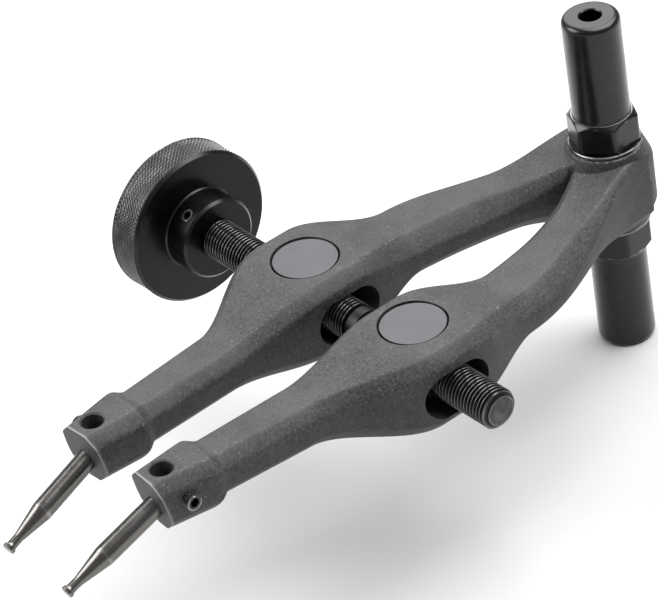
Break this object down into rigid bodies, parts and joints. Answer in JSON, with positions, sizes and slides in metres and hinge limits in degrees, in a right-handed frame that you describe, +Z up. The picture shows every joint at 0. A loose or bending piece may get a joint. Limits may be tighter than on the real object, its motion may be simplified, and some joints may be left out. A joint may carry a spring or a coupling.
{
  "type": "circlip pliers",
  "caption": "Circlip pliers with forged arms on a lap hinge between upright handles, spread by a left and right hand screw with a knurled knob, and sloping pin tips.",
  "frame": {"origin": "on the hinge axis, in the mouth of the hole in the lower handle's end face", "axes": "+Z up along the hinge axis to the upper handle, -X along the tool towards the tips, +Y towards the knob"},
  "size_m": [0.2651, 0.171, 0.1315],
  "materials": {
    "forged_steel": "forged steel with a rough grey phosphate coat",
    "handle_steel": "turned steel, black oxide, satin",
    "pin_steel": "ground steel",
    "washer_steel": "blackened steel, worn bright at the edge",
    "nut_steel": "turned steel, dull grey",
    "spindle_steel": "threaded steel, black oxide",
    "knob_steel": "turned steel, black oxide, knurled rim",
    "screw_steel": "black oxide socket set screw",
    "tip_steel": "hardened steel, polished, tempered brown"
  },
  "bodies": {
    "pivot": {"hinge_pin": "pin_steel", "upper_handle": "handle_steel", "lower_handle": "handle_steel", "upper_washer": "washer_steel", "lower_washer": "washer_steel"},
    "far_arm": {"far_arm": "forged_steel", "far_tip": "tip_steel", "far_tip_set_screw": "screw_steel"},
    "near_arm": {"near_arm": "forged_steel", "near_tip": "tip_steel", "near_tip_set_screw": "screw_steel"},
    "far_nut": {"far_barrel_nut": "nut_steel"},
    "near_nut": {"near_barrel_nut": "nut_steel"},
    "spindle": {"spindle": "spindle_steel"},
    "knob": {"hand_knob": "knob_steel", "knob_set_screw": "screw_steel"}
  },
  "joints": [
    {"name": "far_arm_swing", "type": "hinge", "parent": "pivot", "child": "far_arm", "pos_m": [0, 0, 0.06576], "axis": [0, 0, -1], "range_deg": [-2, 9.6]},
    {"name": "near_arm_swing", "type": "hinge", "parent": "pivot", "child": "near_arm", "pos_m": [0, 0, 0.06576], "axis": [0, 0, 1], "range_deg": [-2, 9.6]},
    {"name": "far_nut_swivel", "type": "hinge", "parent": "far_arm", "child": "far_nut", "pos_m": [-0.11, 0.0277, 0.06576], "axis": [0, 0, 1], "range_deg": [-2, 9.6]},
    {"name": "near_nut_swivel", "type": "hinge", "parent": "near_arm", "child": "near_nut", "pos_m": [-0.11, -0.0277, 0.06576], "axis": [0, 0, -1], "range_deg": [-2, 9.6]},
    {"name": "spindle_travel", "type": "slide", "parent": "near_nut", "child": "spindle", "axis": [0, 1, 0], "range_m": [-0.00375, 0.018]},
    {"name": "knob_turn", "type": "hinge", "parent": "spindle", "child": "knob", "pos_m": [-0.11, 0.09, 0.06576], "axis": [0, -1, 0], "range_deg": [-900, 4320]}
  ],
  "couplings": [
    {"joint": "far_arm_swing", "follows": "knob_turn", "ratio": 0.0022222},
    {"joint": "near_arm_swing", "follows": "knob_turn", "ratio": 0.0022222},
    {"joint": "far_nut_swivel", "follows": "knob_turn", "ratio": 0.0022222},
    {"joint": "near_nut_swivel", "follows": "knob_turn", "ratio": 0.0022222},
    {"joint": "spindle_travel", "follows": "knob_turn", "m_per_rad": 0.00023873}
  ]
}
